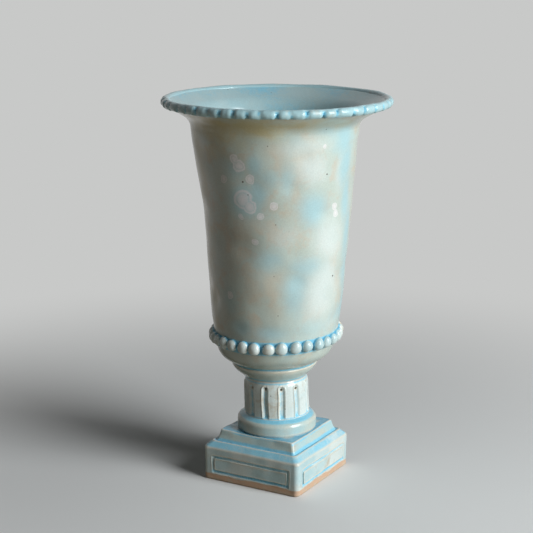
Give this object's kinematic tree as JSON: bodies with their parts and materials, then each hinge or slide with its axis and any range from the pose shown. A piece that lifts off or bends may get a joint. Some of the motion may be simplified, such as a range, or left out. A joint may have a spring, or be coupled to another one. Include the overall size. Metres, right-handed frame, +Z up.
{
  "type": "pinched vase",
  "caption": "Tall handbuilt vase with a pinched tapering wall, notched flared rim, beaded belt, fluted stem and square plinth.",
  "frame": {"origin": "centre of the plinth's foot, on the vase's axis", "axes": "+Z up along the vase's axis; -Y is the front face of the square plinth; +X is to the right of the front"},
  "size_m": [0.1632, 0.1632, 0.2799],
  "materials": {
    "glaze": "glossy mottled celadon glaze on stoneware, blue where it pools",
    "plinth_glaze": "the same glaze over a square plinth, bare buff clay in a band at the foot"
  },
  "bodies": {
    "root": {"plinth_wall_front": "plinth_glaze", "plinth_wall_right": "plinth_glaze", "plinth_wall_back": "plinth_glaze", "plinth_wall_left": "plinth_glaze", "plinth_top": "plinth_glaze", "plinth_step": "glaze", "base_ring": "glaze", "fluted_stem": "glaze", "stem_collar": "glaze", "bowl": "glaze", "belt_beads": "glaze", "body_wall": "glaze", "rim_flange": "glaze", "rim_coil": "glaze"}
  },
  "joints": []
}
